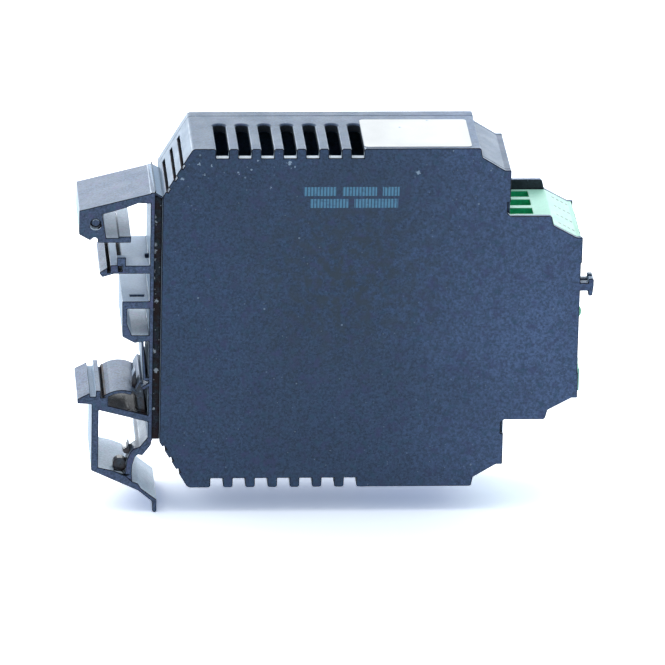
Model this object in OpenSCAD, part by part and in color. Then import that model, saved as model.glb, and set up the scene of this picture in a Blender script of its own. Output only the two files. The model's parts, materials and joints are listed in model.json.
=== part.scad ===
// Slim signal converter for a 35 mm top-hat rail.
// X runs from the rail towards the front, Z runs up, and the near broad side faces -Y.
// The origin is the middle of the rail's front face, at the middle of the module's width.

/* [Case] */
// Height of the case along the panel
case_h = 75; // [70:1:110]
// Width of the module along the rail
case_w = 22.5; // [22.5:0.5:45]
// Depth from the rail's front face to the front of the case
case_d = 100; // [90:1:140]
// Distance from the rail's front face to the back of the case
case_back = 13.3; // [12.5:0.1:25]
// How far the middle of the case lies below the middle of the rail
case_drop = 0.6; // [-2:0.1:2]
// Depth of the slanted corners at the back
chamfer_x = 6; // [3:0.5:10]
// Height of the slanted corners at the back
chamfer_z = 10.3; // [6:0.1:14]
// Thickness of the near broad wall
side_wall = 1.8; // [1.4:0.1:2.6]
// Thickness of the loose cover's broad wall
cover_wall = 2; // [1.6:0.1:2.6]
// Width of the cover's rim along the narrow faces
cover_rim = 2.7; // [2.3:0.1:4]
// Thickness of the narrow walls
rim_wall = 1.8; // [1.2:0.1:2.4]

/* [Vents] */
// Number of vent slots in the top and in the bottom
vent_count = 7; // [3:1:7]
// Distance between the vent slots
vent_pitch = 4.63; // [4.4:0.01:5]
// Width of a vent slot
vent_w = 2.6; // [1.8:0.1:3]
// Rounding along the rim of a vent slot
vent_round = 0.5; // [0.2:0.1:0.7]
// Depth of the vent slots where they run out through the edge of the near wall
vent_deep = 2.05; // [1:0.05:3]
// Length of the vent slots across the case
vent_long = 15; // [8:0.5:16]
// Number of narrow slots in each slanted corner
corner_vents = 3; // [1:1:3]
// Width of a narrow slot
corner_vent_w = 0.95; // [0.6:0.05:1.4]

/* [Terminals] */
// Number of poles in each plug
poles = 4; // [2:1:4]
// Distance between the poles
pitch = 5; // [3.8:0.01:5.08]
// Depth of the outer tiers behind the front
tier_back = 15.2; // [14:0.1:20]
// Height of the inner tier's ledge above the middle of the case
ledge_z = 22.6; // [21:0.1:25]
// Depth of the plugs below that ledge
plug_sink = 2.1; // [1:0.1:3]
// Half height of the middle panel between the plugs
mid_half = 8.9; // [8:0.1:10]
// Sliding clearance round a plug
plug_gap = 0.1; // [0.05:0.01:0.2]
// How far the lower plug stands out of its bay
lower_plug_out = 0.4; // [0:0.1:1]
// Width of a wire entry
wire_w = 3.4; // [2.4:0.1:3.6]

/* [Rail foot] */
// Height of the rail that the foot grips
rail_h = 35; // [30:0.5:40]
// Thickness of the rail's lips
rail_t = 1; // [1:0.1:1.5]
// Width of the foot along the rail
foot_w = 17.4; // [12:0.1:20]
// How far the hooks reach behind the rail's front face
hook_reach = 3.8; // [3:0.1:5]
// Thickness of the foot's back plate
foot_plate = 0.9; // [0.8:0.05:2]
// Depth of the dark groove between the back plate and the case
foot_groove = 1.55; // [1:0.05:2.5]
// Clearance between the rail's edges and the hooks
rail_gap = 0.1; // [0.05:0.05:0.3]

/* [Circuit board] */
// Thickness of the circuit board
board_t = 1.6; // [1:0.1:2]
// Height of the board above the near wall
board_stand = 0.45; // [0.3:0.05:1]
// Side of a square contact pin
pin_s = 0.9; // [0.6:0.05:1]
// Diameter of the two upright capacitors
cap_d = 10; // [6:0.5:11]
// Height of the two upright capacitors
cap_h = 12.5; // [8:0.5:14]
// Diameter of the status lamp
lamp_d = 3; // [2:0.5:4]

/* [Hidden] */
$fn = 48;
// Steps of a rounded corner in an outline, and a small overlap for cuts
arc_steps = 5;
bite = 0.01;
case_black = [0.16, 0.18, 0.22];
foot_black = [0.17, 0.19, 0.23];
plug_green = [0.45, 0.82, 0.62];
header_black = [0.08, 0.09, 0.1];
metal = [0.75, 0.75, 0.77];
tin = [0.82, 0.82, 0.8];
board_green = [0.1, 0.36, 0.2];

// Clearance between the cover and the tray that it clips into
cover_gap = 0.05;
// Places across the case
near_y = -case_w / 2;
far_y = case_w / 2;
near_in = near_y + side_wall;
far_in = far_y - cover_wall;
seam_y = far_y - cover_rim;
// Places up and down the case
top_z = case_h / 2;
rear_z = top_z - chamfer_z;
slant_top = top_z - 2;
slant_low = top_z - 4.9;
plug_top = ledge_z - plug_sink;
nose_slant = plug_top - 2.7;
shelf_top = ledge_z - 0.1;
shelf_t = 1.6;
shelf_low = shelf_top - shelf_t;
bay_top = top_z - rim_wall - 0.2;
mid_wall = 1.4;
pin_z = (mid_half + plug_top) / 2;
// Places along the case
rear_in = case_back + rim_wall;
tier_x = case_d - tier_back;
top_end = tier_x - 6.4;
ledge_x = case_d - 6.6;
bay_x = tier_x - 8.2;
bay_wall_t = 1.6;
part_x = bay_x - bay_wall_t;
front_low = case_d - 0.2;
front_lip = 12.2;
tier_relief = 0.6;
// Plug, bays and header
plug_w = poles * pitch + 0.3;
bay_half = plug_w / 2 + plug_gap;
plug_back = tier_x + 0.1;
nose_back = plug_back - 6.7;
nose_half_y = plug_w / 2 - 1.25;
nose_low = mid_half + 1.6;
nose_high = shelf_low - 1.6;
nose_gap = 0.2;
header_face = tier_x - 0.4;
header_base = 2.6;
chamber_half = 2.1;
chamber_x = plug_back + 0.4;
clamp_x = plug_back + 6.5;
screw_seat = clamp_x + 4.5;
head_r = 1.7;
shank_r = 1.2;
head_t = 2;
screw_tip = clamp_x - 3.2;
pin_tip = nose_back + 5;
contact_t = 0.4;
// Board
board_y = near_in + board_stand;
board_top = board_y + board_t;
board_edge = 2.5;
board_front = part_x - 2.5;
tongue_end = case_d - 4.5;
tongue_half = mid_half - mid_wall - 0.6;
tail_x = board_front - 2.5;
tail_step = 2.4;
post_r = 2;
stake_r = 0.95;
stake_gap = 0.05;
lamp_z = -2.8;
lamp_y = 0;
lamp_x = case_d + 1.5;
lamp_long = 5.3;
lead_pitch = 2.54;
// Foot
foot_near = near_y + 0.1;
foot_far = foot_near + foot_w;
rail_z = rail_h / 2;
plate_x = case_back - foot_groove;
plate_in = plate_x - foot_plate;
plate_half = rail_z + 9.9;

function unit(v) = v / norm(v);

// Points of one corner b, coming from a and leaving to c, rounded with the radius in b[2]
function corner(a, b, c) =
    b[2] <= 0 ? [[b[0], b[1]]] :
    let (
        p = [b[0], b[1]],
        u = unit([a[0], a[1]] - p),
        v = unit([c[0], c[1]] - p),
        half = acos(u * v) / 2,
        mid = p + unit(u + v) * b[2] / sin(half),
        s = p + u * b[2] / tan(half) - mid,
        e = p + v * b[2] / tan(half) - mid,
        a0 = atan2(s[1], s[0]),
        turn = atan2(s[0] * e[1] - s[1] * e[0], s * e)
    )
    [
        for (i = [0:arc_steps])
            let (a = a0 + turn * i / arc_steps)
            mid + b[2] * [cos(a), sin(a)]
    ];

// A closed outline whose points are [x, z, corner radius]
function rounded(pts) =
    let (n = len(pts))
    [for (i = [0:n - 1]) for (p = corner(pts[(i + n - 1) % n], pts[i], pts[(i + 1) % n])) p];

// A half outline above the middle, closed by its own mirror image
function mirrored(half) = concat(
    half,
    [for (i = [len(half) - 1:-1:0]) [half[i][0], -half[i][1], half[i][2]]]
);

// The inner corner points of the slanted back corner, for a wall of thickness t
function chamfer_in(t) =
    let (l = norm([chamfer_x, chamfer_z]))
    [
        [case_back + t, rear_z - t * (l - chamfer_z) / chamfer_x, 0.4],
        [case_back + chamfer_x + t * (l - chamfer_x) / chamfer_z, top_z - t, 0.8],
    ];

case_half = [
    [case_back, rear_z, 0.5],
    [case_back + chamfer_x, top_z, 1.2],
    [top_end, top_z, 0.5],
    [top_end + 0.35, slant_top, 0.3],
    [tier_x - 1.3, slant_low, 0.4],
    [tier_x, slant_low, 0.2],
    [tier_x, ledge_z + 3, 0],
    [tier_x - tier_relief, ledge_z + 3, 0],
    [tier_x - tier_relief, ledge_z + 0.7, 0.3],
    [tier_x + 0.1, ledge_z, 0.2],
    [ledge_x, ledge_z, 0.6],
    [ledge_x + 0.5, plug_top, 0.5],
    [case_d - 1.2, nose_slant, 0.4],
    [case_d, nose_slant, 0.2],
    [case_d, front_lip, 0],
    [front_low, front_lip, 0],
];

// Draws a shape given in X and Z, from y0 to y1
module slab(y0, y1) {
    translate([0, y1, 0])
        rotate([90, 0, 0])
            linear_extrude(y1 - y0) children();
}

// Moves the case and what is in it to its height on the rail
module in_case() {
    translate([0, 0, -case_drop]) children();
}

module upside_down() {
    mirror([0, 0, 1]) children();
}

module both_ends() {
    children();
    upside_down() children();
}

module block(x, y, z) {
    translate([x[0], y[0], z[0]]) cube([x[1] - x[0], y[1] - y[0], z[1] - z[0]]);
}

module case_shape() {
    polygon(rounded(mirrored(case_half)));
}

// The space for the electronics, with the rear corners following the case
module cavity_shape(t) {
    polygon(rounded(mirrored(concat(chamfer_in(t), [[part_x, top_z - t, 0]]))));
}

// The bay of one outer tier, of one plug and of the middle channel
module bay_shapes() {
    for (s = [1, -1])
        scale([1, s]) {
            translate([bay_x, shelf_top]) square([case_d, top_z - rim_wall - shelf_top]);
            translate([top_end, shelf_top]) square([case_d, top_z]);
            translate([part_x - bite, mid_half]) square([case_d, shelf_low - mid_half]);
            translate([tier_x - tier_relief, mid_half]) square([case_d, top_z]);
        }
    translate([part_x - bite, mid_wall - mid_half]) square([case_d, 2 * (mid_half - mid_wall)]);
}

// The bays of the blank covers and of the plugs, without the middle channel
module side_bays(gap) {
    for (s = [1, -1])
        scale([1, s]) {
            translate([bay_x + gap, shelf_top + gap])
                square([case_d, top_z - rim_wall - shelf_top - 2 * gap]);
            translate([part_x + gap, mid_half + gap])
                square([case_d, shelf_low - mid_half - 2 * gap]);
        }
}

// One half of a vent's section, wide at the surface
function vent_half(deep) = concat(
    [[0, -deep], [vent_w / 2, -deep]],
    [
        for (i = [0:arc_steps])
            let (a = 90 * i / arc_steps)
            [vent_w / 2 + vent_round * (1 - cos(a)), -vent_round * (1 - sin(a))]
    ],
    [[vent_w / 2 + vent_round, 1], [0, 1]]
);

module vent_section(deep) {
    polygon(vent_half(deep));
    mirror([1, 0]) polygon(vent_half(deep));
}

// A slot through the narrow wall, with one round end, that runs out through the near wall's edge
module vent_cut() {
    end_y = near_y + vent_long - vent_w / 2;
    slab(near_y - 1, near_in + bite) vent_section(vent_deep);
    slab(near_in, end_y) vent_section(cut_through);
    translate([0, end_y, 0]) rotate_extrude() polygon(vent_half(cut_through));
}

cut_through = rim_wall + 0.5;
first_vent = case_back + 12.05;
corner_pitch = 2.95;
corner_shift = 1.3;
corner_long = 17.3;
corner_notch = 0.5;

module top_vents() {
    for (i = [0:vent_count - 1])
        translate([first_vent + i * vent_pitch, 0, top_z]) vent_cut();
}

// The narrow slots stand square to the slanted corner and just notch the near wall
module corner_vent_cuts() {
    slope = atan2(chamfer_z, chamfer_x);
    half_w = corner_vent_w / 2;
    translate([case_back + chamfer_x / 2, 0, rear_z + chamfer_z / 2])
        rotate([0, -slope, 0])
            for (i = [0:corner_vents - 1])
                translate([(i - (corner_vents - 1) / 2) * corner_pitch - corner_shift, 0, 0]) {
                    block([-half_w, half_w], [near_y - 1, near_in + bite], [-corner_notch, 1]);
                    block([-half_w, half_w], [near_in, near_y + corner_long], [-cut_through, 1]);
                }
}

// The T-shaped catch that stands out of the front edge
catch_x = case_d + 2.6;
module catch_shape() {
    translate([front_low - 1, 6.05]) square([catch_x - front_low, 1.75]);
    polygon(rounded([
        [catch_x - 1.07, 4.95, 0.2], [catch_x - 0.25, 4.95, 0.3], [catch_x, 7.2, 0.6],
        [catch_x, 8.7, 0.4], [catch_x - 1.15, 8.7, 0.2],
    ]));
}

hook_x = rear_in + 1.1;
hook_y = [-6, 0];
hook_z = [11, -11];
hook_h = 4;

post_places = [
    [case_back + 9, 28], [case_back + 9, -28], [part_x - 6, 30], [part_x - 6, -30],
];

module standoffs() {
    for (p = post_places)
        translate([p[0], near_in - bite, p[1]]) rotate([-90, 0, 0]) {
            cylinder(r = post_r, h = board_stand + bite);
            cylinder(r = stake_r, h = board_stand + board_t + 0.8);
        }
}

module housing_tray() {
    web_t = 0.8;
    color(case_black) in_case() difference() {
        union() {
            slab(near_y, near_in) case_shape();
            slab(near_in, seam_y) difference() {
                case_shape();
                cavity_shape(rim_wall);
                bay_shapes();
            }
            slab(seam_y - bite, far_in) difference() {
                translate([part_x, cover_gap + rim_wall - top_z])
                    square([front_low - part_x, 2 * (top_z - rim_wall - cover_gap)]);
                bay_shapes();
                for (s = [1, -1])
                    scale([1, s]) translate([bay_x + web_t, shelf_top - bite]) square([case_d, top_z]);
            }
            // The walls beside the plugs follow the width of the plugs
            slab(near_y, -bay_half) intersection() {
                case_shape();
                side_bays(0);
            }
            standoffs();
            slab(near_y, near_in) catch_shape();
        }
        both_ends() {
            top_vents();
            corner_vent_cuts();
            // The near wall is thinner beside the plugs and the blank covers
            thin_y = [-bay_half, max(near_in, -bay_half) + bite];
            block([bay_x - bite, case_d + 1], thin_y, [mid_half, bay_top]);
            block([part_x - bite, bay_x], thin_y, [mid_half, shelf_low]);
        }
        for (z = hook_z)
            block([case_back - 1, rear_in + bite], hook_y, [z - hook_h / 2, z + hook_h / 2]);
    }
}

// Snap tabs of the cover, standing just inside the tray's narrow walls
tab_t = 1.2;
tab_long = 8;
tab_deep = 3.2;
tab_x = part_x - 14;

module side_cover() {
    tab_y = [seam_y - tab_deep, far_in + bite];
    tab_top = top_z - rim_wall - cover_gap;
    tab_back = rear_in + cover_gap;
    color(case_black) in_case() difference() {
        union() {
            slab(far_in, far_y) case_shape();
            slab(seam_y, far_in) difference() {
                case_shape();
                cavity_shape(rim_wall);
                translate([part_x - bite, -top_z]) square([case_d, case_h]);
            }
            slab(bay_half, far_y) intersection() {
                case_shape();
                side_bays(cover_gap);
            }
            both_ends() {
                slab(seam_y, far_in) intersection() {
                    case_shape();
                    translate([part_x - 2, top_z - rim_wall]) square([top_end - part_x + 2, rim_wall]);
                }
                block([tab_x, tab_x + tab_long], tab_y, [tab_top - tab_t, tab_top]);
            }
            block([tab_back, tab_back + tab_t], tab_y, [-tab_long / 2, tab_long / 2]);
        }
        both_ends()
            block(
                [part_x - bite, case_d + 1], [min(far_in, bay_half) - bite, bay_half], [mid_half, bay_top]
            );
    }
}

// Foot outlines, in X and Z from the middle of the rail

module plate_shape() {
    translate([plate_in, -plate_half]) square([foot_plate, 2 * plate_half]);
}

arm_slope = 0.254;
arm_lift = 9.93;

module upper_arm_shape() {
    notch_x = -rail_t - 0.25;
    notch_z = rail_z + rail_gap;
    arm_z = rail_z - 1.05;
    polygon([
        [plate_x, rail_z + arm_lift],
        [-hook_reach, rail_z + arm_lift - arm_slope * (plate_x + hook_reach)],
        [-hook_reach, rail_z + 0.8], [notch_x - 0.25, rail_z - 0.5],
        [notch_x, notch_z - 0.35], [notch_x + 0.35, notch_z], [-0.3, notch_z], [0.05, notch_z - 0.35],
        [0.05, arm_z], [6.85, arm_z], [6.9, arm_z + 1.35], [4.4, arm_z + 1.35], [4.35, arm_z + 1.05],
        [1.8, arm_z + 1.05], [0.95, rail_z + 5.15], [5.8, rail_z + 6.6], [8.3, rail_z + 7.6],
        [plate_in + bite, rail_z + 7.5], [plate_in + bite, rail_z + 8],
    ]);
}

// The second support touches the rail's front face below the upper edge
module rail_support_shape() {
    polygon([
        [plate_in + bite, 9.6], [3.45, 9.6], [1.1, 8.9], [0.45, 9.7], [0.6, 10], [2.05, 10.97],
        [2.15, 9.9], [2.65, 9.9], [2.75, 11.5], [4.3, 11.5], [4.4, 10.15], [5.1, 10.15], [5.2, 11.4],
        [plate_in + bite, 11.4],
    ]);
}

module stop_block_shape() {
    difference() {
        polygon([
            [plate_in + bite, 3.5], [5.25, 3.5], [5.35, -4.3],
            [7.9, -5.7], [9.8, -5.4], [plate_in + bite, -5.4],
        ]);
        polygon([[plate_in, 1.85], [6.3, 1.85], [6.3, -1.4], [7.3, -4], [plate_in, -4]]);
    }
}

module guide_leaf_shape() {
    polygon([
        [9.3, -5.3], [9.75, -5.3], [10.35, -13.4],
        [plate_in + bite, -13.4], [plate_in + bite, -14.1], [9.7, -14.1],
    ]);
}

// The sprung catch that grips the rail's lower edge
module catch_head_shape() {
    groove_z = -rail_z - rail_gap;
    polygon([
        [-hook_reach, groove_z - 0.5], [-rail_t - 0.25, -rail_z + 0.7],
        [-rail_t - 0.15, groove_z], [0, groove_z], [0.05, -rail_z + 1.2], [1, -rail_z + 1.2],
        [1.05, groove_z - 0.2], [1.6, groove_z - 0.2], [1.7, groove_z + 0.4], [2.6, groove_z + 0.45],
        [2.6, -rail_z - 2.8], [0.64, -rail_z - 3.05], [-0.8, -rail_z - 1.8],
        [-hook_reach + 0.05, -rail_z - 1.6],
    ]);
}

// The arched spring between the catch and the plate, as steps along its circle
arch_steps = 10;
arch_bend = 8;
module arch_shape(first, last, foot) {
    arch_t = 0.75;
    centre = [5.35, -rail_z - 4.6];
    r = 5.95;
    function arch_point(i, radius) =
        let (a = 129 - 76 * i / arch_steps)
        centre + radius * [cos(a), sin(a)];
    polygon(concat(
        [for (i = [first:last]) arch_point(i, r)],
        foot,
        [for (i = [last:-1:first]) arch_point(i, r - arch_t)]
    ));
}

// The arch's leg, and the web between it and the plate, both set back from the near face
module arch_leg_shape() {
    arch_shape(arch_bend, arch_steps, [[9.75, -rail_z - 3.9], [8.9, -rail_z - 3.9]]);
    polygon([[8.3, -16.6], [9.2, -14.9], [9.75, -15.1], [10.4, -21.6], [9.2, -21.6], [8.7, -17.6]]);
}

module slanted_bar_shape() {
    polygon([
        [0.6, -rail_z - 1.6], [plate_in + bite, -rail_z - 4.3],
        [plate_in + bite, -rail_z - 5.8], [0.6, -rail_z - 3.1],
    ]);
}

module release_frame_shape() {
    base = -rail_z - 16.6;
    polygon([
        [-0.8, -rail_z - 1.7], [0.65, -rail_z - 1.7], [0.65, base + 0.65],
        [3.85, base - 0.1], [6.2, base - 1.05], [7.7, base - 2.5], [9, base - 3.05], [9.6, base - 4.1],
        [12.9, base - 6.7], [12.9, base - 9.2], [12.6, base - 9.5], [12.3, base - 9.5],
        [12, base - 9.2], [12, base - 7.1], [9, base - 4.6], [-0.8, base],
    ]);
}

// The S-shaped leaf that lets the release frame spring, with its root as wide as the foot
leaf_top = -plate_half;
module leaf_root_shape() {
    polygon([
        [plate_in, leaf_top + 0.6], [plate_x, leaf_top + 0.6], [plate_x - 0.2, leaf_top - 1.05],
        [9.8, leaf_top - 3.4], [8.9, leaf_top - 3.2], [8.6, leaf_top - 3.1],
        [8.6, leaf_top - 1.7], [9.3, leaf_top - 1.4],
    ]);
}

module release_leaf_shape() {
    polygon([
        [9.2, leaf_top - 3.25], [8.9, leaf_top - 3.2], [8.3, leaf_top - 3.7], [7.75, leaf_top - 5.6],
        [7.65, leaf_top - 7.6], [7.8, leaf_top - 9.2], [6.2, leaf_top - 8], [6.4, leaf_top - 6],
        [6.6, leaf_top - 4.3], [7.3, leaf_top - 2.7], [8, leaf_top - 1.95], [9.2, leaf_top - 1.45],
    ]);
}

// The small barb that keeps the leaf from bending too far
module barb_shape() {
    top = leaf_top - 1.2;
    polygon([
        [7.4, top - 1.6], [7, top], [6.65, top - 0.9],
        [5.7, top - 1.6], [6.1, top - 2.2], [7.1, top - 2.3],
    ]);
}

module foot_shape() {
    plate_shape();
    upper_arm_shape();
    rail_support_shape();
    stop_block_shape();
    guide_leaf_shape();
    catch_head_shape();
    arch_shape(0, arch_bend, []);
    slanted_bar_shape();
    release_frame_shape();
    leaf_root_shape();
    // Where the arch's foot meets the plate beside the thin gap
    polygon([[9.3, -15.6], [plate_in + bite, -14.6], [plate_in + bite, -15.5], [9.9, -16.2]]);
}

module rail_foot() {
    groove_deep = 1.6;
    leg_deep = 1.4;
    leaf_w = 4.5;
    lid_t = 0.5;
    lid_z = rear_z - case_drop - 0.1;
    stud = [-0.4, rail_z + 3.1];
    color(foot_black) {
        difference() {
            union() {
                slab(foot_near, foot_far) foot_shape();
                // Spacer that stands the plate off the case
                block(
                    [plate_x - bite, case_back], [foot_near + groove_deep, foot_far - 1],
                    [-rear_z - case_drop, lid_z - 0.6 * lid_t]
                );
                // Closed upper end of the groove
                slab(foot_near, foot_far) polygon([
                    [plate_x - bite, rail_z + arm_lift], [case_back, lid_z], [case_back, lid_z - lid_t],
                    [plate_x - bite, rail_z + arm_lift - lid_t],
                ]);
                for (z = hook_z) translate([0, 0, -case_drop]) snap_hook(z);
                // Upstand, finger, boss and barb that stop short of the foot's full width
                block([4.05, 5.9], [foot_near, foot_near + 1.5], [11.3, 13.2]);
                slab(foot_near + 3, foot_near + 6) polygon([
                    [7.5, -17.4], [7.65, -14.3], [8.15, -13], [8.35, -13], [8.8, -17.4],
                ]);
                slab(foot_near + 1.5, foot_near + 3.5) translate([5.2, -rail_z - 15.9]) circle(r = 1.45);
                slab(foot_near + 1.2, foot_near + leaf_w) barb_shape();
                slab(foot_near, foot_near + leaf_w) release_leaf_shape();
                slab(foot_near + leg_deep, foot_far) arch_leg_shape();
            }
            // Slot in the stop block's upper bar
            block([6.9, 9.9], [foot_near + 2.9, foot_near + 4.1], [1, 4]);
            // Small hole at the root of the rail support
            block([plate_in - 0.75, plate_in + 0.3], [foot_near + 4.6, foot_near + 7], [9, 12.4]);
            // Pocket in the head of the upper arm
            slab(foot_near - 1, foot_near + 0.8) translate(stud) circle(r = 1.2);
        }
        // Low round stud in that pocket
        slab(foot_near + 0.2, foot_near + 0.9) translate(stud + [0, 0.2]) circle(r = 0.8);
    }
}

// A hook that passes through the back of the case and grips behind it
module snap_hook(z) {
    hook_gap = 0.1;
    nose = 1.6;
    y0 = hook_y[0] + hook_gap;
    y1 = hook_y[1] - 1;
    half = hook_h / 2 - hook_gap;
    block([case_back - bite, rear_in + hook_gap], [y0, y1], [z - half, z + half]);
    translate([0, 0, z - half]) linear_extrude(2 * half)
        polygon([
            [rear_in + cover_gap, y0], [hook_x, y0], [hook_x, y1], [rear_in + cover_gap, y1 + nose],
        ]);
}

// The panel between the plugs, with the lamp's hole and the catch's second half
module front_panel() {
    panel_t = 1.8;
    panel_half = mid_half - mid_wall;
    color(case_black) in_case() difference() {
        union() {
            block([front_low - panel_t, front_low], [near_in, far_in], [-panel_half, panel_half]);
            slab(near_in + 0.9, near_in + 2.2) intersection() {
                catch_shape();
                union() {
                    translate([front_low, 0]) square([case_d, top_z]);
                    translate([front_low - 1, 0]) square([case_d, panel_half]);
                }
            }
        }
        translate([front_low - panel_t - 1, lamp_y, lamp_z]) rotate([0, 90, 0])
            cylinder(d = lamp_d + 0.2, h = panel_t + 2);
    }
}

// The shell that closes an outer tier where no plug is fitted
module blank_cover() {
    skin = 1.5;
    low = shelf_top + 0.05;
    high = top_z - rim_wall - 0.25;
    outer = [
        [bay_x + 0.1, low, 0], [bay_x + 0.1, high, 0], [top_end + 0.45, high, 0],
        [tier_x - 1.3, slant_low, 0.4], [tier_x, slant_low, 0.3], [tier_x, low, 0.2],
    ];
    inner = [
        [bay_x, low + skin, 0], [bay_x, high - skin, 0], [top_end, high - skin, 0],
        [tier_x - 1.6, slant_low - skin, 0], [tier_x - skin, slant_low - skin, 0],
        [tier_x - skin, low + skin, 0],
    ];
    difference() {
        slab(-plug_w / 2, plug_w / 2) polygon(rounded(outer));
        slab(-plug_w / 2 + skin, plug_w / 2 - skin) polygon(rounded(inner));
    }
}

module upper_blank_cover() {
    color(case_black) in_case() blank_cover();
}

module lower_blank_cover() {
    color(case_black) in_case() upside_down() blank_cover();
}

// The type label sits on the top face, between the vents and the front edge
label_x = [case_back + 41.2, case_back + 63.3];
label_y = [near_y + 0.95, near_y + 17.15];
label_t = 0.1;
label_round = 0.8;

module type_label() {
    color("white") in_case() translate([0, 0, top_z]) linear_extrude(label_t)
        polygon(rounded([
            for (i = [[0, 0], [1, 0], [1, 1], [0, 1]]) [label_x[i[0]], label_y[i[1]], label_round]
        ]));
}

// Runs its children once at each pole
module each_pole() {
    for (i = [0:poles - 1])
        translate([0, (i - (poles - 1) / 2) * pitch, 0]) children();
}

module plug_body() {
    low = mid_half + plug_gap;
    face = case_d - 0.4;
    tunnel = 1.3;
    outer = [
        [plug_back, low, 0.3], [plug_back, plug_top, 0.3], [ledge_x + 0.5, plug_top, 0.6],
        [case_d - 1.2, nose_slant, 0.4], [face, nose_slant, 0.2], [face, low, 0.4],
    ];
    difference() {
        union() {
            slab(-plug_w / 2, plug_w / 2) polygon(rounded(outer));
            block([nose_back, plug_back + bite], [-nose_half_y, nose_half_y], [nose_low, nose_high]);
            // Raised band round the screws
            block([case_d - 1, case_d], [-plug_w / 2, plug_w / 2], [pin_z - 2.9, pin_z + 1.9]);
        }
        each_pole() {
            // Wire entry, clamp chamber, screw channel and pin tunnel
            block(
                [plug_back + 0.3, plug_back + 5.4], [-wire_w / 2, wire_w / 2], [pin_z + 2.6, plug_top + 1]
            );
            block([chamber_x, clamp_x], [-chamber_half, chamber_half], [pin_z - 4.2, pin_z + 2.7]);
            block([nose_back + 6.1, chamber_x + bite], [-tunnel, tunnel], [pin_z - 4.2, pin_z + tunnel]);
            block([nose_back - 1, nose_back + 6.2], [-tunnel, tunnel], [pin_z - 1.4, pin_z + 1.4]);
            translate([0, 0, pin_z]) rotate([0, 90, 0]) {
                translate([0, 0, chamber_x]) cylinder(r = shank_r + 0.3, h = case_d - chamber_x + 1);
                translate([0, 0, screw_seat]) cylinder(r = head_r + 0.2, h = 10);
            }
        }
    }
}

module clamp_screws() {
    slot_w = 0.5;
    slot_deep = 0.9;
    each_pole() translate([0, 0, pin_z]) rotate([0, 90, 0]) difference() {
        union() {
            translate([0, 0, screw_tip]) cylinder(r = shank_r, h = screw_seat - screw_tip + bite);
            translate([0, 0, screw_seat]) cylinder(r = head_r, h = head_t);
        }
        // Slot for a screwdriver's blade
        translate([-slot_w / 2, -head_r - 1, screw_seat + head_t - slot_deep])
            cube([slot_w, 2 * head_r + 2, head_t]);
    }
}

module clamp_cages() {
    wall = 0.6;
    nut = 1.5;
    half = chamber_half - 0.1;
    back = chamber_x + 0.2;
    each_pole() difference() {
        block([back, clamp_x], [-half, half], [pin_z - 2.5, pin_z + 2.5]);
        block([back + wall, clamp_x - nut], [-half + wall, half - wall], [pin_z - 3, pin_z + 3]);
        translate([clamp_x - nut - 1, 0, pin_z]) rotate([0, 90, 0])
            cylinder(r = shank_r + 0.04, h = nut + 2);
    }
}

// A fork that grips the header pin, and the bar that the wire is pressed against
module plug_contacts() {
    foot_z = pin_z - 4.1;
    bar_x = chamber_x + 0.9;
    grip = pin_s / 2 + 0.05;
    riser = nose_back + 6.15;
    fork = [-0.9, 0.9];
    bar = [-1.2, 1.2];
    bar_t = 0.8;
    each_pole() {
        for (z = [grip, -grip - contact_t])
            block([nose_back + 0.8, riser + 0.1], fork, [pin_z + z, pin_z + z + contact_t]);
        block([riser, riser + 0.6], fork, [foot_z, pin_z + grip + contact_t]);
        block([riser, bar_x + bar_t], bar, [foot_z, foot_z + bar_t]);
        block([bar_x, bar_x + bar_t], bar, [foot_z, pin_z + 2.4]);
    }
}

module header() {
    pin_half = pin_s / 2;
    high = shelf_low - plug_gap;
    low = mid_half + plug_gap;
    difference() {
        block([part_x, header_face], [-plug_w / 2, plug_w / 2], [low, high]);
        block(
            [part_x + header_base, header_face + 1], [-nose_half_y - nose_gap, nose_half_y + nose_gap],
            [nose_low - nose_gap, nose_high + nose_gap]
        );
        each_pole()
            block([part_x - 1, header_face], [-pin_half, pin_half], [pin_z - pin_half, pin_z + pin_half]);
    }
}

// The pins bend down to the board one behind the other; the one nearest the board is cranked over its edge
module header_pins() {
    h = pin_s / 2;
    bend = board_front + 1.2;
    level = [pin_z - h, pin_z + h];
    for (i = [0:poles - 1]) {
        y = (i - (poles - 1) / 2) * pitch;
        run = max(y, board_top + 0.7);
        x = tail_x - i * tail_step;
        block([bend, pin_tip], [y - h, y + h], level);
        block([bend, bend + pin_s], [y - h, run + h], level);
        block([x - h, bend + pin_s], [run - h, run + h], level);
        block([x - h, x + h], [board_y - 0.4, run + h], level);
    }
}

module upper_plug_body() {
    color(plug_green) in_case() plug_body();
}

module upper_clamp_screws() {
    color(metal) in_case() clamp_screws();
}

module upper_clamp_cages() {
    color(tin) in_case() clamp_cages();
}

module upper_plug_contacts() {
    color(tin) in_case() plug_contacts();
}

// The lower plug is the same moulding turned over, and stands out of its bay a little
module lower_plug() {
    in_case() translate([lower_plug_out, 0, 0]) upside_down() children();
}

module lower_plug_body() {
    color(plug_green) lower_plug() plug_body();
}

module lower_clamp_screws() {
    color(metal) lower_plug() clamp_screws();
}

module lower_clamp_cages() {
    color(tin) lower_plug() clamp_cages();
}

module lower_plug_contacts() {
    color(tin) lower_plug() plug_contacts();
}

module upper_header() {
    color(header_black) in_case() header();
}

module lower_header() {
    color(header_black) in_case() upside_down() header();
}

module upper_header_pins() {
    color(tin) in_case() header_pins();
}

module lower_header_pins() {
    color(tin) in_case() upside_down() header_pins();
}

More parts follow.
